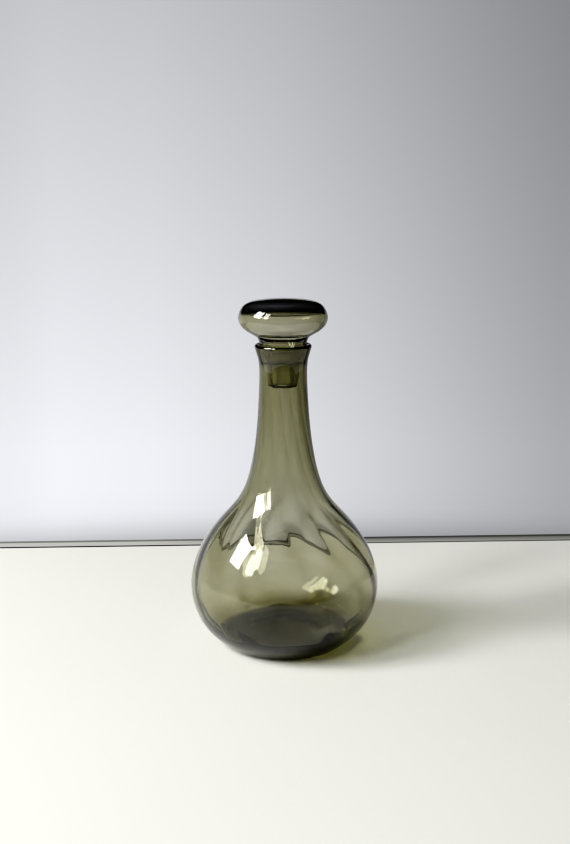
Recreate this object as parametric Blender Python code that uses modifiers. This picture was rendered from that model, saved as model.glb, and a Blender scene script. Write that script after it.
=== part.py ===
"""Glass decanter with a hollow mushroom stopper.

Two pieces of smoke-grey glass: a blown bottle with twisted optic ribs, and a
stopper whose ground cone sits in the flared mouth.  Metres, +Z up, the origin
at the centre of the base where the bottle stands.
"""
import math

import bmesh
import bpy

MM = 0.001
COLLECTION = "glass_decanter"

# Bottle: heights above the table and outer radii, in millimetres.
RING_INNER, RING_OUTER = 30.0, 41.0     # flat ring the bottle stands on
PUSH_UP = 1.6                           # rise of the underside inside the ring
FLOOR_HEIGHT, FLOOR_DISH = 8.8, 1.0     # inside floor at its edge, and its dish
FLOOR_RADIUS = 41.0                     # flat part of the inside floor
OUTER = (                               # (height, radius) down the outer side
    (216.0, 20.2), (211.6, 18.9), (206.4, 17.5), (195.0, 16.9), (176.0, 17.7),
    (154.0, 19.5), (130.0, 23.5), (114.0, 28.7), (104.0, 34.8), (95.0, 42.7),
    (82.0, 53.6), (65.0, 62.9), (44.0, 67.5), (25.0, 63.8), (12.0, 56.0),
    (4.0, 47.4))
RINGS = (2, 1, 1, 1, 1, 2, 2, 2, 2, 3, 3, 4, 4, 3, 2)   # rings between stations
LIP_TOP, LIP_BEAD = 217.6, 1.5          # top of the lip, radius of its edges
MOUTH_RADIUS = 16.9                     # inner edge of the lip
SEAT_TOP, SEAT_BOTTOM = 216.0, 207.4    # conical seat in the mouth
SEAT_END_RADIUS = 14.0                  # radius of the seat's lower end
WALL = (                                # (height, wall thickness)
    (207.0, 3.1), (196.0, 2.75), (174.0, 2.65), (130.0, 2.2), (110.0, 2.0),
    (94.0, 1.75), (60.0, 1.5), (42.0, 1.55), (30.0, 1.8), (23.0, 2.5),
    (17.0, 4.0), (13.0, 5.9), (10.4, 7.9))
INNER_HEIGHTS = (200.0, 180.0, 156.0, 138.0, 124.0, 114.0, 106.0, 99.0, 92.0,
                 84.0, 75.0, 66.0, 57.0, 48.0, 39.0, 30.0, 23.0, 17.0, 13.0,
                 10.4)
BOTTLE_SEGMENTS = 60

# Optic ribs: soft flutes that wind down the body, mostly on the inside.
RIB_COUNT = 12
RIB_DEPTH_INSIDE, RIB_DEPTH_OUTSIDE = 0.50, 0.12
RIB_START = math.radians(10.3)          # where a ridge would meet the table
RIB_TURN = math.radians(-0.43)          # turn of a rib per millimetre of height
RIB_FADE_LOW, RIB_FADE_HIGH = 8.0, 130.0

# Stopper: heights above the table when it sits in the mouth.
STOPPER_SEGMENTS = 48
SEAT_GAP = 0.32                         # clearance between cone and mouth
HEAD_TOP = 249.3
HEAD_OUTER = (                          # (height, radius) down the head
    (248.5, 13.0), (247.2, 22.6), (245.0, 27.1), (241.5, 29.8), (236.0, 31.4),
    (231.0, 29.8), (227.6, 26.4), (224.8, 21.8), (222.6, 18.5), (220.6, 17.2))
COLLAR_HEIGHT, COLLAR_RADIUS = 218.8, 16.9
PLUG_TOP, PLUG_TOP_RADIUS = 205.8, 11.6
PLUG_BOTTOM, PLUG_BOTTOM_RADIUS = 187.7, 10.3
PLUG_BEAD = 0.9                         # rounding of the plug's open end
HOLLOW = (                              # (height, radius) up the inside
    (188.3, 8.6), (190.3, 8.7), (198.2, 9.15), (206.0, 9.65), (210.0, 10.8),
    (215.0, 13.1), (218.4, 14.2), (220.4, 14.7), (222.0, 16.0), (224.0, 18.8),
    (226.8, 22.7), (230.2, 26.5), (235.0, 28.9), (239.4, 28.2), (242.0, 25.2))
HOLLOW_TOP = 243.7                      # underside of the thick crown

GLASS_GREY = (0.21, 0.215, 0.13, 1.0)
GLASS_OLIVE = (0.17, 0.165, 0.075, 1.0)
GLASS_ROUGHNESS = 0.04
GLASS_IOR = 1.5
MERGE = 0.00002


def smooth_curve(stations, counts):
    """Points on a Catmull-Rom curve through (height, radius) stations."""
    ends = [stations[0], *stations, stations[-1]]
    points = []
    for i, count in enumerate(counts):
        a, b, c, d = ends[i:i + 4]
        for k in range(count):
            t = k / count
            points.append(tuple(
                0.5 * (2 * b[j] + (c[j] - a[j]) * t
                       + (2 * a[j] - 5 * b[j] + 4 * c[j] - d[j]) * t ** 2
                       + (3 * b[j] - a[j] - 3 * c[j] + d[j]) * t ** 3)
                for j in (0, 1)))
    points.append(tuple(stations[-1]))
    return points


def interpolate(table, height):
    """Value at a height in a table of (height, value), listed top down."""
    if height >= table[0][0]:
        return table[0][1]
    for (high, upper), (low, lower) in zip(table, table[1:]):
        if height >= low:
            return lower + (upper - lower) * (height - low) / (high - low)
    return table[-1][1]


def arc(height, radius, bead, start, end, steps):
    """Points of a quarter round, angles in degrees from +radius to +height."""
    turn = [math.radians(start + (end - start) * k / steps)
            for k in range(steps + 1)]
    return [(height + bead * math.sin(a), radius + bead * math.cos(a))
            for a in turn]


def ease(value):
    """Smooth step from 0 to 1."""
    value = min(max(value, 0.0), 1.0)
    return value * value * (3.0 - 2.0 * value)


OUTER_CURVE = smooth_curve(OUTER, RINGS)


def outer_radius(height):
    """Radius of the bottle's outer side at a height."""
    return interpolate(OUTER_CURVE, height)


def wall(height):
    """Wall thickness of the bottle at a height."""
    return interpolate(WALL, height)


def bottle_profile():
    """Inside floor, inner wall, mouth, lip, outer side and underside."""
    floor = [(FLOOR_HEIGHT - FLOOR_DISH * (1 - (k / 3) ** 2),
              FLOOR_RADIUS * k / 3) for k in range(4)]
    corner = [(FLOOR_HEIGHT + 0.3, FLOOR_RADIUS + 3.6)]
    inside = [(h, outer_radius(h) - wall(h)) for h in reversed(INNER_HEIGHTS)]
    seat = [(SEAT_BOTTOM, SEAT_END_RADIUS), (SEAT_TOP, MOUTH_RADIUS - 0.2)]
    inner_edge = arc(LIP_TOP - LIP_BEAD, MOUTH_RADIUS + LIP_BEAD, LIP_BEAD,
                     150, 90, 2)
    outer_edge = arc(LIP_TOP - LIP_BEAD, OUTER[0][1] - LIP_BEAD, LIP_BEAD,
                     90, 25, 2)
    underside = [(0.0, RING_OUTER), (0.0, RING_INNER),
                 (PUSH_UP * 0.75, RING_INNER * 0.8), (PUSH_UP, 0.0)]
    heel = [(1.2, RING_OUTER + 2.7)]
    return (floor + corner + inside + seat + inner_edge + outer_edge
            + OUTER_CURVE + heel + underside)


def stopper_profile():
    """Crown, head, seat cone and plug going down, then the hollow going up."""
    return stopper_outside() + stopper_hollow()


def stopper_outside():
    """Outside of the stopper, from the top of the crown to the open end."""
    head = smooth_curve(HEAD_OUTER, (2, 2, 2, 2, 2, 2, 2, 1, 1))
    cone = (MOUTH_RADIUS - 0.2 - SEAT_END_RADIUS) / (SEAT_TOP - SEAT_BOTTOM)
    seat = [(COLLAR_HEIGHT, COLLAR_RADIUS), (LIP_TOP, COLLAR_RADIUS - 0.5),
            (SEAT_TOP, MOUTH_RADIUS - 0.2 - SEAT_GAP),
            (SEAT_BOTTOM + 0.6, SEAT_END_RADIUS + cone * 0.6 - SEAT_GAP)]
    plug = [(PLUG_TOP, PLUG_TOP_RADIUS)]
    end = arc(PLUG_BOTTOM + PLUG_BEAD, PLUG_BOTTOM_RADIUS - PLUG_BEAD,
              PLUG_BEAD, 0, -90, 3)
    return [(HEAD_TOP, 0.0)] + head + seat + plug + end


def stopper_hollow():
    """Inside of the stopper, from its open end up to the axis."""
    side = smooth_curve(HOLLOW, (1, 1, 1, 1, 1, 1, 1, 1, 1, 1, 1, 2, 2, 2))
    return side + [(HOLLOW_TOP - 0.4, 20.0), (HOLLOW_TOP, 0.0)]


def turned(name, profile, segments, origin):
    """Mesh object of a profile turned once about Z, by a Screw modifier."""
    mesh = bpy.data.meshes.new(name)
    points = [(r * MM, 0.0, h * MM - origin) for h, r in profile]
    edges = [(i, i + 1) for i in range(len(points) - 1)]
    mesh.from_pydata(points, edges, [])
    piece = bpy.data.objects.new(name, mesh)
    bpy.data.collections[COLLECTION].objects.link(piece)
    piece.location = (0.0, 0.0, origin)
    screw = piece.modifiers.new("turn", "SCREW")
    screw.axis = "Z"
    screw.angle = 2.0 * math.pi
    screw.steps = screw.render_steps = segments
    screw.use_merge_vertices = True
    screw.merge_threshold = MERGE
    screw.use_smooth_shade = True
    return piece


def freeze(piece):
    """Replace a piece's mesh with its evaluated one, without modifiers."""
    bpy.context.view_layer.update()
    evaluated = piece.evaluated_get(bpy.context.evaluated_depsgraph_get())
    mesh = bpy.data.meshes.new_from_object(evaluated)
    piece.modifiers.clear()
    piece.data = mesh


def rib_depth(height, radius):
    """Depth of the ribs at a point of the wall, in millimetres."""
    fade = (ease((height - RIB_FADE_LOW) / 10.0)
            * ease((RIB_FADE_HIGH - height) / 45.0))
    inward = (outer_radius(height) - radius) / wall(height)
    inward = min(max(inward, 0.0), 1.0)
    return fade * (RIB_DEPTH_OUTSIDE
                   + (RIB_DEPTH_INSIDE - RIB_DEPTH_OUTSIDE) * inward)


def press_ribs(piece):
    """Move the bottle's wall in and out, into flutes and winding ridges."""
    for vertex in piece.data.vertices:
        x, y, z = vertex.co
        radius, height = math.hypot(x, y) / MM, z / MM
        if radius < FLOOR_RADIUS * 0.3 and height < FLOOR_HEIGHT + 1.0:
            continue
        around = math.atan2(y, x) - RIB_TURN * height - RIB_START
        shift = -rib_depth(height, radius) * math.cos(RIB_COUNT * around)
        scale = (radius + shift) / radius
        vertex.co.x, vertex.co.y = x * scale, y * scale


def shade(piece, angle):
    """Smooth shading with sharp edges above an angle in degrees."""
    piece.data.shade_smooth()
    piece.data.set_sharp_from_angle(angle=math.radians(angle))


def glass(name, colour):
    """Tinted clear glass."""
    material = bpy.data.materials.new(name)
    material.use_nodes = True
    shader = material.node_tree.nodes["Principled BSDF"]
    shader.inputs["Base Color"].default_value = colour
    shader.inputs["Roughness"].default_value = GLASS_ROUGHNESS
    shader.inputs["Metallic"].default_value = 0.0
    shader.inputs["IOR"].default_value = GLASS_IOR
    shader.inputs["Transmission Weight"].default_value = 1.0
    material.diffuse_color = colour
    return material


def build_bottle():
    """The blown bottle, with its ribs pressed into the wall."""
    bottle = turned("bottle", bottle_profile(), BOTTLE_SEGMENTS, 0.0)
    freeze(bottle)
    press_ribs(bottle)
    shade(bottle, 50.0)
    bottle.data.materials.append(glass("smoke_glass_bottle", GLASS_GREY))


def build_stopper():
    """The hollow stopper, its origin on the axis it lifts along."""
    stopper = turned("stopper", stopper_profile(), STOPPER_SEGMENTS,
                     LIP_TOP * MM)
    freeze(stopper)
    shade(stopper, 50.0)
    stopper.data.materials.append(glass("smoke_glass_stopper", GLASS_OLIVE))


def main():
    for old in list(bpy.data.objects):
        bpy.data.objects.remove(old, do_unlink=True)
    collection = bpy.data.collections.new(COLLECTION)
    bpy.context.scene.collection.children.link(collection)
    build_bottle()
    build_stopper()


main()
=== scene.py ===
import math

import bmesh
import bpy
import numpy as np
from mathutils import Matrix, Vector


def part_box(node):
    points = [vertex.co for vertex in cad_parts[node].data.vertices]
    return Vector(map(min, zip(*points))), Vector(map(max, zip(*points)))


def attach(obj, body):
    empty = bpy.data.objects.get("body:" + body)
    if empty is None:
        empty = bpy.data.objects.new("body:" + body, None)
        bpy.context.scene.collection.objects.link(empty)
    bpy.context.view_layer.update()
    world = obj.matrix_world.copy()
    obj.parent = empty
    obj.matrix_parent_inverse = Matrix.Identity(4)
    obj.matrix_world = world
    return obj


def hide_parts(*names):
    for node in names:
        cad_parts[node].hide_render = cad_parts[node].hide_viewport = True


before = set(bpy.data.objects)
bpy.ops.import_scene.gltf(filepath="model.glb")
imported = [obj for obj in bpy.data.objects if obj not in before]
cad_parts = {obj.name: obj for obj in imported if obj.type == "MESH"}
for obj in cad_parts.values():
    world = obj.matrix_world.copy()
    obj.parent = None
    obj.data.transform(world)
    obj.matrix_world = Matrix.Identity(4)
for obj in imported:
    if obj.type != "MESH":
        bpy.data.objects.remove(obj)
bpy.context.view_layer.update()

MM = 0.001
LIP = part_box("bottle")[1][2] / MM            # top of the lip
STOPPER_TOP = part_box("stopper")[1][2] / MM   # top of the crown
PLUG_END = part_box("stopper")[0][2] / MM      # lower end of the plug

# ---------------------------------------------------------------- profiles
# Stations are (height, radius) in millimetres; WALL is (height, thickness).
OUTER_BODY = (
    (LIP - 1.6, 20.2), (211.6, 18.9), (206.4, 17.5), (195.0, 16.9),
    (176.0, 17.7), (154.0, 19.5), (130.0, 23.5), (114.0, 28.7), (104.0, 34.8),
    (95.0, 42.7), (82.0, 53.6), (65.0, 62.9), (44.0, 67.5), (25.0, 63.8),
    (12.0, 56.0), (4.0, 47.4), (1.3, 43.7))
UNDERSIDE = ((0.5, 42.6), (0.1, 41.2), (0.03, 38.0), (0.03, 34.0),
             (0.2, 31.0), (0.7, 26.5), (1.3, 18.0), (1.6, 8.0), (1.6, 0.0))
WALL = ((207.0, 3.1), (196.0, 2.75), (174.0, 2.65), (130.0, 2.2),
        (110.0, 2.0), (94.0, 1.75), (60.0, 1.5), (42.0, 1.55), (30.0, 1.75),
        (23.0, 2.2), (17.0, 3.3), (13.0, 5.4), (10.4, 7.7))
FLOOR = ((7.8, 0.0), (7.9, 14.0), (8.1, 28.0), (8.4, 40.0), (8.6, 45.4))
MOUTH = ((207.4, 14.0), (211.7, 15.35), (LIP - 1.6, 16.7))
LIP_ROUND = ((LIP - 0.5, 17.3), (LIP, 18.3), (LIP - 0.35, 19.6))

HEAD = (
    (STOPPER_TOP, 0.0), (STOPPER_TOP - 0.12, 6.0), (248.65, 13.0),
    (247.4, 21.6), (245.0, 27.1), (241.5, 29.8), (236.0, 31.4), (231.0, 29.8),
    (227.6, 26.4), (224.8, 21.8), (222.6, 18.5), (220.6, 17.2))
COLLAR = ((218.9, 16.9), (217.6, 16.75), (216.0, 16.4))
PLUG_SIDE = ((208.2, 13.95), (206.9, 12.3), (205.4, 11.6), (197.0, 11.0),
             (189.6, 10.35))
PLUG_RIM = ((188.3, 9.95), (PLUG_END, 9.35), (188.3, 8.8), (190.3, 8.75))
HOLLOW = (
    (198.2, 9.2), (206.0, 9.7), (210.0, 10.8), (215.0, 13.1), (218.4, 14.2),
    (220.4, 14.7), (222.0, 16.0), (224.0, 18.8), (226.8, 22.7), (230.2, 26.5),
    (235.0, 28.9), (239.4, 28.2), (242.0, 25.2), (243.3, 20.0), (243.7, 11.0),
    (243.7, 0.0))
# Heights at which the inside of the bottle follows its wall thickness.
INNER_HEIGHTS = (10.8, 12.4, 14.5, 17, 20, 24, 29, 35, 42, 50, 58, 66, 74, 82,
                 90, 97, 104, 112, 121, 131, 143, 156, 170, 184, 196, 203)

# Soft flutes in the bore of the plug, which fade out up to a height.
PLUG_FLUTES, PLUG_FLUTE = 6, 0.32       # how many, how deep
PLUG_PHASE = 1.0                        # their turn, in radians
PLUG_FLUTE_TOP = 212.0

# Optic ribs: twelve flutes that wind down the body and meet in ridges.
RIBS = 12
RIB_INSIDE, RIB_OUTSIDE = 0.66, 0.16    # depth inside and outside the wall
RIB_TURN = math.radians(-0.43)          # turn per millimetre of height
RIB_PHASE = math.radians(10.3)
RIB_WANDER = math.radians(2.5)          # how far a ridge strays from its place
RIB_UNEVEN = 0.25                       # how much deeper they are on one side
RIB_DEEP_SIDE = math.radians(335.0)
RIDGE_ROUND = 0.03                      # 0 would give knife-edged ridges
RIDGE_LEVEL = 0.68                      # level of a flute above the mean
# Share of the full depth at a height.
RIB_DEPTH = ((5.0, 0.0), (8.5, 2.2), (12.0, 2.4), (18.0, 1.6), (28.0, 0.8),
             (45.0, 0.45), (60.0, 0.5), (75.0, 0.85), (88.0, 0.95),
             (97.0, 0.65), (108.0, 0.25), (122.0, 0.2), (140.0, 0.4),
             (185.0, 0.5), (203.0, 0.0))


def spline(stations, count):
    """Natural cubic spline through 2-D stations, by chord length."""
    p = np.array(stations, float)
    t = np.concatenate([[0.0], np.cumsum(
        np.sqrt(np.linalg.norm(np.diff(p, axis=0), axis=1)))])
    h = np.diff(t)
    n = len(p)
    a = np.zeros((n, n))
    b = np.zeros((n, 2))
    a[0, 0] = a[-1, -1] = 1.0
    for i in range(1, n - 1):
        a[i, i - 1:i + 2] = h[i - 1], 2 * (h[i - 1] + h[i]), h[i]
        b[i] = 6 * ((p[i + 1] - p[i]) / h[i] - (p[i] - p[i - 1]) / h[i - 1])
    m = np.linalg.solve(a, b)
    s = np.linspace(0.0, t[-1], count)
    k = np.clip(np.searchsorted(t, s, side="right") - 1, 0, n - 2)
    u, v = (t[k + 1] - s)[:, None], (s - t[k])[:, None]
    hk = h[k][:, None]
    return ((m[k] * u ** 3 + m[k + 1] * v ** 3) / (6 * hk)
            + (p[k] / hk - m[k] * hk / 6) * u
            + (p[k + 1] / hk - m[k + 1] * hk / 6) * v)


def even(path, step):
    """A path resampled at an even step along its length."""
    s = np.concatenate([[0.0], np.cumsum(
        np.linalg.norm(np.diff(path, axis=0), axis=1))])
    t = np.linspace(0.0, s[-1], max(int(s[-1] / step), 2) + 1)
    return np.stack([np.interp(t, s, path[:, j]) for j in (0, 1)], axis=1)


def soften(path, width, step=0.05):
    """Round a path's corners over a width, keeping its two ends."""
    path = even(path, step)
    reach = int(4 * width / step)
    k = np.exp(-0.5 * (np.arange(-reach, reach + 1) * step / width) ** 2)
    k /= k.sum()
    head = 2 * path[0] - path[reach:0:-1]
    tail = 2 * path[-1] - path[-2:-reach - 2:-1]
    # On the axis the radius mirrors and the height repeats.
    for part, end, side in ((head, path[0], path[reach:0:-1]),
                            (tail, path[-1], path[-2:-reach - 2:-1])):
        if abs(end[1]) < 1e-9:
            part[:, 0] = side[:, 0]
            part[:, 1] = -side[:, 1]
    full = np.concatenate([head, path, tail])
    out = np.stack([np.convolve(full[:, j], k, "valid") for j in (0, 1)], 1)
    if abs(path[0][1]) < 1e-9:
        out[0, 1] = 0.0
    if abs(path[-1][1]) < 1e-9:
        out[-1, 1] = 0.0
    return out


def thin(path, low, high, bend):
    """Fewer points where the path is straight, more where it bends."""
    d = np.gradient(path, axis=0)
    ds = np.linalg.norm(d, axis=1)
    angle = np.unwrap(np.arctan2(d[:, 0], d[:, 1]))
    curve = np.abs(np.gradient(angle)) / np.maximum(ds, 1e-9)
    k = np.ones(41) / 41
    curve = np.convolve(np.pad(curve, 20, mode="edge"), k, "valid")
    step = np.clip(bend / np.maximum(curve, 1e-6), low, high)
    need = np.concatenate([[0.0], np.cumsum(
        0.5 * (ds[1:] / step[1:] + ds[:-1] / step[:-1]))])
    t = np.linspace(0.0, need[-1], int(need[-1]) + 2)
    return np.stack([np.interp(t, need, path[:, j]) for j in (0, 1)], 1)


OUTSIDE = spline(OUTER_BODY, 3000)
OUT_H, OUT_R = OUTSIDE[::-1, 0], OUTSIDE[::-1, 1]


def outer_radius(height):
    """Radius of the bottle's outer side, without its ribs."""
    return np.interp(height, OUT_H, OUT_R)


def wall(height):
    """Thickness of the bottle's wall."""
    w = np.array(WALL)[::-1]
    return np.interp(height, w[:, 0], w[:, 1])


def bottle_path():
    """Closed section from the inside floor, over the lip, to the underside."""
    inside = [(h, outer_radius(h) - wall(h)) for h in INNER_HEIGHTS]
    rise = np.concatenate([spline(FLOOR, 800), spline(
        [FLOOR[-1]] + inside + [(206.6, 13.8)], 3600)])
    top = spline(LIP_ROUND, 200)
    under = spline(UNDERSIDE, 600)
    path = np.concatenate([rise, np.array(MOUTH), top, OUTSIDE, under])
    path[0, 1] = 0.0
    path = soften(path, 0.35)
    return thin(path, 0.18, 1.7, 0.05)


def stopper_path():
    """Closed section from the crown, down the plug, to the hollow's top."""
    path = np.concatenate([spline(HEAD, 2500), np.array(COLLAR),
                           spline(PLUG_SIDE, 400), spline(PLUG_RIM, 300),
                           spline(HOLLOW, 2500)])
    path = soften(path, 0.3)
    return thin(path, 0.15, 1.2, 0.05)


def ease(x):
    """Smooth step from 0 to 1."""
    x = np.clip(x, 0.0, 1.0)
    return x * x * (3 - 2 * x)


def rib_wave(turn, height):
    """Round flutes and narrow ridges, every second one fading at the base."""
    turn = turn - RIB_TURN * height - RIB_PHASE
    turn = turn + RIB_WANDER * np.sin(2 * turn + 0.6)
    angle = RIBS / 2 * turn
    dip = 2.0 - 2.0 * np.sqrt((np.sin(angle) ** 2 + RIDGE_ROUND)
                              / (1.0 + RIDGE_ROUND))
    fade = 0.85 * (1.0 - ease((height - 14.0) / 35.0))
    dip = dip * (1.0 - fade * (1.0 - np.cos(angle)) / 2)
    uneven = 1.0 + RIB_UNEVEN * np.cos(turn - RIB_DEEP_SIDE)
    return (RIDGE_LEVEL - dip) * uneven


def ribbed(height, radius, turn):
    """Radius of the bottle's glass with its ribs."""
    out = outer_radius(height)
    inward = np.clip((out - radius) / np.maximum(wall(height), 0.1), 0, 1)
    table = np.array(RIB_DEPTH)
    share = np.interp(height, table[:, 0], table[:, 1])
    outer, inner = RIB_OUTSIDE * min(share, 1.0), RIB_INSIDE * share
    depth = outer + (inner - outer) * inward
    depth = depth * np.clip(radius / 38.0, 0.0, 1.0) ** 1.4
    return radius + depth * rib_wave(turn, height)


def fluted_plug(height, radius, turn):
    """Radius of the stopper's glass, with soft flutes inside the plug."""
    depth = (PLUG_FLUTE * ease((10.0 - radius) / 0.6)
             * ease((PLUG_FLUTE_TOP - height) / 10.0))
    return radius + depth * np.cos(PLUG_FLUTES * turn + PLUG_PHASE)


def lathe(name, path, segments, shape=None):
    """A turned closed mesh of quads, one vertex at each pole."""
    path = path * MM
    turn = np.linspace(0.0, 2 * math.pi, segments, endpoint=False)
    rings, points = [], []
    for height, radius in path:
        if radius < 1e-6:
            rings.append([len(points)])
            points.append((0.0, 0.0, height))
            continue
        r = np.full(segments, radius)
        if shape:
            r = shape(height / MM, radius / MM, turn) * MM
        rings.append(list(range(len(points), len(points) + segments)))
        points += list(zip(r * np.cos(turn), r * np.sin(turn),
                           np.full(segments, height)))
    faces = []
    for a, b in zip(rings, rings[1:]):
        for i in range(segments):
            j = (i + 1) % segments
            if len(a) == 1:
                faces.append((a[0], b[i], b[j]))
            elif len(b) == 1:
                faces.append((a[j], a[i], b[0]))
            else:
                faces.append((a[j], a[i], b[i], b[j]))
    mesh = bpy.data.meshes.new(name)
    mesh.from_pydata([tuple(map(float, p)) for p in points], [], faces)
    work = bmesh.new()
    work.from_mesh(mesh)
    bmesh.ops.recalc_face_normals(work, faces=work.faces)
    if work.calc_volume(signed=True) < 0:
        bmesh.ops.reverse_faces(work, faces=work.faces)
    work.to_mesh(mesh)
    work.free()
    mesh.shade_smooth()
    piece = bpy.data.objects.new(name, mesh)
    bpy.context.scene.collection.objects.link(piece)
    return piece


# --------------------------------------------------------------- materials
GLASS_IOR = 1.5
HAZE = 0.004            # roughness of the faintest handling marks
# Tint left by a unit of absorption, density per metre, scale of the waviness.
BOTTLE_GLASS = ((0.540, 0.528, 0.30), 500.0, 9.0)
STOPPER_GLASS = ((0.545, 0.525, 0.25), 340.0, 14.0)

# Table, in metres: its back edge, and the grey edging strip along that edge.
TABLE_WIDTH, TABLE_DEPTH, TABLE_THICK = 1.9, 0.75, 0.03
TABLE_BACK = 0.2535
TABLE_TURN = math.radians(1.5)
STRIP_WIDTH = 0.025
STRIP_SHADE_SPAN = (-0.12, 0.08)      # painted shade: the strip dims from lit at -X to shaded at +X


def node(tree, kind, **values):
    """A new node, with values for its inputs or its own properties."""
    made = tree.nodes.new(kind)
    for key, value in values.items():
        if key in made.inputs:
            made.inputs[key].default_value = value
        else:
            setattr(made, key, value)
    return made


def grade(ramp, stops, tint):
    """Set a colour ramp's stops from (position, value) pairs and a tint."""
    spots = ramp.color_ramp.elements
    spots[0].position, spots[-1].position = stops[0][0], stops[-1][0]
    for at, value in stops[1:-1]:
        spots.new(at)
    for spot, (at, value) in zip(spots, stops):
        spot.color = (*(value * t for t in tint), 1.0)


def span(tree, low, high, start=0.0, end=1.0):
    """A node that maps low to high onto start to end."""
    made = tree.nodes.new("ShaderNodeMapRange")
    for key, value in (("From Min", low), ("From Max", high),
                       ("To Min", start), ("To Max", end)):
        made.inputs[key].default_value = value
    return made


def smoke_glass(name, tint, density, scale):
    """Tinted glass: clear surface, colour from absorption in its thickness."""
    material = bpy.data.materials.new(name)
    material.use_nodes = True
    tree = material.node_tree
    tree.nodes.clear()
    out = tree.nodes.new("ShaderNodeOutputMaterial")
    shader = tree.nodes.new("ShaderNodeBsdfPrincipled")
    shader.inputs["Base Color"].default_value = (1.0, 1.0, 1.0, 1.0)
    shader.inputs["Metallic"].default_value = 0.0
    shader.inputs["IOR"].default_value = GLASS_IOR
    shader.inputs["Transmission Weight"].default_value = 1.0
    body = tree.nodes.new("ShaderNodeVolumeAbsorption")
    body.inputs["Color"].default_value = (*tint, 1.0)
    body.inputs["Density"].default_value = density
    place = tree.nodes.new("ShaderNodeTexCoord")
    # Slow waviness of blown glass, and fine streaks along its height.
    wave = node(tree, "ShaderNodeTexNoise", Scale=scale, Detail=1.0)
    bump = node(tree, "ShaderNodeBump", Strength=0.10, Distance=0.0006)
    stretch = tree.nodes.new("ShaderNodeMapping")
    stretch.inputs["Scale"].default_value = (1.0, 1.0, 0.14)
    streak = node(tree, "ShaderNodeTexNoise", Scale=170.0, Detail=1.5)
    ridge = node(tree, "ShaderNodeBump", Strength=1.0, Distance=0.00005)
    # Faint handling haze.
    haze = node(tree, "ShaderNodeTexNoise", Scale=55.0, Detail=4.0)
    rough = span(tree, 0.35, 0.75, 0.0, HAZE)
    link = tree.links.new
    link(place.outputs["Object"], wave.inputs["Vector"])
    link(place.outputs["Object"], haze.inputs["Vector"])
    link(place.outputs["Object"], stretch.inputs["Vector"])
    link(stretch.outputs["Vector"], streak.inputs["Vector"])
    link(streak.outputs["Fac"], ridge.inputs["Height"])
    link(ridge.outputs["Normal"], bump.inputs["Normal"])
    link(wave.outputs["Fac"], bump.inputs["Height"])
    link(haze.outputs["Fac"], rough.inputs["Value"])
    link(bump.outputs["Normal"], shader.inputs["Normal"])
    link(rough.outputs["Result"], shader.inputs["Roughness"])
    link(shader.outputs["BSDF"], out.inputs["Surface"])
    link(body.outputs["Volume"], out.inputs["Volume"])
    return material


def table_material():
    """Matt warm white table top with a grey edging strip along its back, a
    painted gap shadow in front of the strip, and painted shade that dims the
    strip towards +X.
    """
    material = bpy.data.materials.new("table_white")
    material.use_nodes = True
    tree = material.node_tree
    shader = tree.nodes["Principled BSDF"]
    shader.inputs["Roughness"].default_value = 0.55
    place = tree.nodes.new("ShaderNodeTexCoord")
    fine = node(tree, "ShaderNodeTexNoise", Scale=900.0, Detail=3.0)
    cloud = node(tree, "ShaderNodeTexNoise", Scale=3.0, Detail=2.0)
    ramp = tree.nodes.new("ShaderNodeValToRGB")
    ramp.color_ramp.elements[0].position = 0.3
    ramp.color_ramp.elements[0].color = (0.88, 0.885, 0.855, 1)
    ramp.color_ramp.elements[1].position = 0.7
    ramp.color_ramp.elements[1].color = (0.90, 0.905, 0.875, 1)
    split = tree.nodes.new("ShaderNodeSeparateXYZ")
    # Lit copy (at -X) and shaded copy (at +X) of the strip: painted shade from
    # the window side.
    strip_lit = tree.nodes.new("ShaderNodeValToRGB")
    # The dark band at 0.17 to 0.28 of the edge span, in both copies, is a
    # painted gap shadow between the table top and the grey strip.
    grade(strip_lit, ((0.0, 1.0), (0.14, 1.0), (0.17, 0.0), (0.28, 0.0),
                   (0.34, 0.62), (0.74, 0.62), (0.80, 0.22), (1.0, 0.22)),
          (1.0, 1.0, 0.98))
    strip_shaded = tree.nodes.new("ShaderNodeValToRGB")
    grade(strip_shaded, ((0.0, 1.0), (0.15, 1.0), (0.18, 0.13), (0.28, 0.13),
                (0.34, 0.42), (0.74, 0.20), (0.80, 0.07), (1.0, 0.07)),
          (1.0, 1.0, 0.98))
    # Painted shade: the strip blends from the lit copy at -X into the shaded
    # copy at +X.
    strip = node(tree, "ShaderNodeMix", data_type="RGBA")
    side = span(tree, *STRIP_SHADE_SPAN)
    edge = span(tree, TABLE_BACK - STRIP_WIDTH, TABLE_BACK)
    mix = node(tree, "ShaderNodeMix", data_type="RGBA", blend_type="MULTIPLY")
    mix.inputs["Factor"].default_value = 1.0
    bump = node(tree, "ShaderNodeBump", Strength=0.06, Distance=0.0004)
    link = tree.links.new
    link(place.outputs["Object"], fine.inputs["Vector"])
    link(place.outputs["Object"], cloud.inputs["Vector"])
    link(place.outputs["Object"], split.inputs["Vector"])
    link(cloud.outputs["Fac"], ramp.inputs["Fac"])
    link(split.outputs["Y"], edge.inputs["Value"])
    link(edge.outputs["Result"], strip_lit.inputs["Fac"])
    link(edge.outputs["Result"], strip_shaded.inputs["Fac"])
    link(split.outputs["X"], side.inputs["Value"])
    link(side.outputs["Result"], strip.inputs["Factor"])
    link(strip_lit.outputs["Color"], strip.inputs["A"])
    link(strip_shaded.outputs["Color"], strip.inputs["B"])
    link(ramp.outputs["Color"], mix.inputs["A"])
    link(strip.outputs["Result"], mix.inputs["B"])
    link(mix.outputs["Result"], shader.inputs["Base Color"])
    link(fine.outputs["Fac"], bump.inputs["Height"])
    link(bump.outputs["Normal"], shader.inputs["Normal"])
    return material


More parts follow.
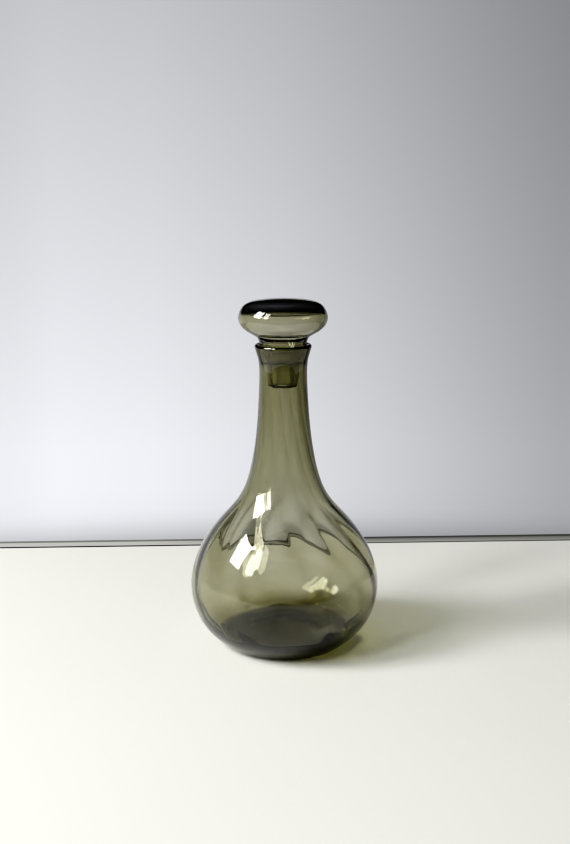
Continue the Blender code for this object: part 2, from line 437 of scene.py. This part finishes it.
# ------------------------------------------------------------------ pieces
bottle = lathe("bottle_glass", bottle_path(), 360, ribbed)
stopper = lathe("stopper_glass", stopper_path(), 192, fluted_plug)
bottle.data.materials.append(
    smoke_glass("smoke_glass_bottle", *BOTTLE_GLASS))
stopper.data.materials.append(
    smoke_glass("smoke_glass_stopper", *STOPPER_GLASS))
for piece, body in ((bottle, "bottle"), (stopper, "stopper")):
    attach(piece, body)
    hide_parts(body)


# ------------------------------------------------------------------- stage
def table():
    """Table top, with its back edge a little behind the object."""
    work = bmesh.new()
    made = bmesh.ops.create_cube(work, size=1.0)
    scale = Matrix.Diagonal((TABLE_WIDTH, TABLE_DEPTH, TABLE_THICK, 1.0))
    shift = Matrix.Translation((0.0, TABLE_BACK - TABLE_DEPTH / 2,
                                -TABLE_THICK / 2))
    bmesh.ops.transform(work, matrix=shift @ scale, verts=made["verts"])
    mesh = bpy.data.meshes.new("table")
    work.to_mesh(mesh)
    work.free()
    piece = bpy.data.objects.new("table", mesh)
    bpy.context.scene.collection.objects.link(piece)
    mesh.materials.append(table_material())
    piece.rotation_euler = (0.0, 0.0, TABLE_TURN)
    return piece


def sky():
    """Pale wall, brighter on the window's side, dark overhead."""
    world = bpy.data.worlds.new("room")
    bpy.context.scene.world = world
    world.use_nodes = True
    tree = world.node_tree
    tree.nodes.clear()
    out = tree.nodes.new("ShaderNodeOutputWorld")
    back = tree.nodes.new("ShaderNodeBackground")
    place = tree.nodes.new("ShaderNodeTexCoord")
    split = tree.nodes.new("ShaderNodeSeparateXYZ")
    side = span(tree, -1.0, 1.0)
    across = tree.nodes.new("ShaderNodeValToRGB")
    grade(across, ((0.0, 0.80), (0.396, 0.875), (0.4126, 0.915), (0.45, 0.875),
                   (0.50, 0.75), (0.543, 0.61), (0.576, 0.50), (0.606, 0.412),
                   (1.0, 0.20)), (0.99, 1.0, 1.045))
    up = span(tree, -1.0, 1.0)
    height = tree.nodes.new("ShaderNodeValToRGB")
    grade(height, ((0.0, 0.3), (0.345, 0.45), (0.355, 0.55), (0.358, 0.66),
                   (0.360, 0.79), (0.363, 0.89), (0.367, 0.97), (0.375, 1.0),
                   (0.39, 1.0), (0.416, 0.93), (0.462, 0.82), (0.504, 0.73),
                   (0.559, 0.62), (0.572, 0.20), (0.59, 0.02), (0.66, 0.02),
                   (0.70, 0.09), (0.77, 0.16), (0.85, 0.42), (1.0, 0.65)),
          (1.0, 1.0, 1.0))
    front = span(tree, -1.0, 1.0)
    depth = tree.nodes.new("ShaderNodeValToRGB")
    grade(depth, ((0.0, 0.15), (0.35, 0.2), (0.55, 0.55), (0.80, 1.0)),
          (1.0, 1.0, 1.0))
    both = node(tree, "ShaderNodeMix", data_type="RGBA", blend_type="MULTIPLY")
    both.inputs["Factor"].default_value = 1.0
    mix = node(tree, "ShaderNodeMix", data_type="RGBA", blend_type="MULTIPLY")
    mix.inputs["Factor"].default_value = 1.0
    link = tree.links.new
    link(place.outputs["Generated"], split.inputs["Vector"])
    link(split.outputs["X"], side.inputs["Value"])
    link(side.outputs["Result"], across.inputs["Fac"])
    link(split.outputs["Z"], up.inputs["Value"])
    link(up.outputs["Result"], height.inputs["Fac"])
    link(split.outputs["Y"], front.inputs["Value"])
    link(front.outputs["Result"], depth.inputs["Fac"])
    link(across.outputs["Color"], mix.inputs["A"])
    link(height.outputs["Color"], mix.inputs["B"])
    link(mix.outputs["Result"], both.inputs["A"])
    link(depth.outputs["Color"], both.inputs["B"])
    link(both.outputs["Result"], back.inputs["Color"])
    link(back.outputs["Background"], out.inputs["Surface"])


# Window panes: degrees up, metres away, metres high, and what they face.
PANE_ELEVATION, PANE_DISTANCE, PANE_HEIGHT = 37.0, 2.3, 1.02
AIM_HEIGHT = 0.08
DAYLIGHT = (1.0, 0.99, 0.965)


def window(name, azimuth, width, power):
    """A window pane as an area light that faces the object."""
    light = bpy.data.lights.new(name, "AREA")
    light.shape = "RECTANGLE"
    light.size, light.size_y = width, PANE_HEIGHT
    light.energy = power
    light.color = DAYLIGHT
    piece = bpy.data.objects.new(name, light)
    a, e = math.radians(azimuth), math.radians(PANE_ELEVATION)
    aim = Vector((0, 0, AIM_HEIGHT))
    spot = Vector((-math.sin(a) * math.cos(e), -math.cos(a) * math.cos(e),
                   math.sin(e))) * PANE_DISTANCE + aim
    piece.location = spot
    piece.rotation_euler = (aim - spot).to_track_quat("-Z", "Y").to_euler()
    bpy.context.scene.collection.objects.link(piece)


table()
sky()
window("window_left", 74.0, 0.78, 60.0)
window("window_right", 47.0, 0.42, 20.0)

# ------------------------------------------------------------------ camera
LENS = 54.085                           # millimetres, on a 36 mm long side
CAMERA_SPOT = (0.0, -0.8789, 0.3423)
pitch, roll, yaw = (math.radians(a) for a in (11.6, -0.32, -0.07))

data = bpy.data.cameras.new("camera")
data.lens = LENS
data.clip_start = 0.01
camera = bpy.data.objects.new("camera", data)
camera.location = CAMERA_SPOT
camera.rotation_euler = (Matrix.Rotation(yaw, 3, "Z")
                         @ Matrix.Rotation(math.pi / 2 - pitch, 3, "X")
                         @ Matrix.Rotation(roll, 3, "Z")).to_euler()
bpy.context.scene.collection.objects.link(camera)
bpy.context.scene.camera = camera

# -------------------------------------------------------- tone and bounces
TONE = ((0.02, 0.006), (0.07, 0.052), (0.16, 0.15), (0.35, 0.355),
        (0.7, 0.71))                    # deepens the darks of the glass

scene = bpy.context.scene
scene.view_settings.view_transform = "Standard"
scene.view_settings.look = "None"
scene.view_settings.use_curve_mapping = True
curves = scene.view_settings.curve_mapping
tone = curves.curves[3].points
for at, value in TONE:
    tone.new(at, value)
curves.update()
scene.cycles.max_bounces = 32
scene.cycles.transmission_bounces = 24
scene.cycles.glossy_bounces = 12
scene.cycles.transparent_max_bounces = 16
scene.cycles.caustics_refractive = True
scene.cycles.caustics_reflective = True
scene.cycles.blur_glossy = 0.0
scene.cycles.filter_width = 1.2
scene.cycles.sample_clamp_indirect = 0.0
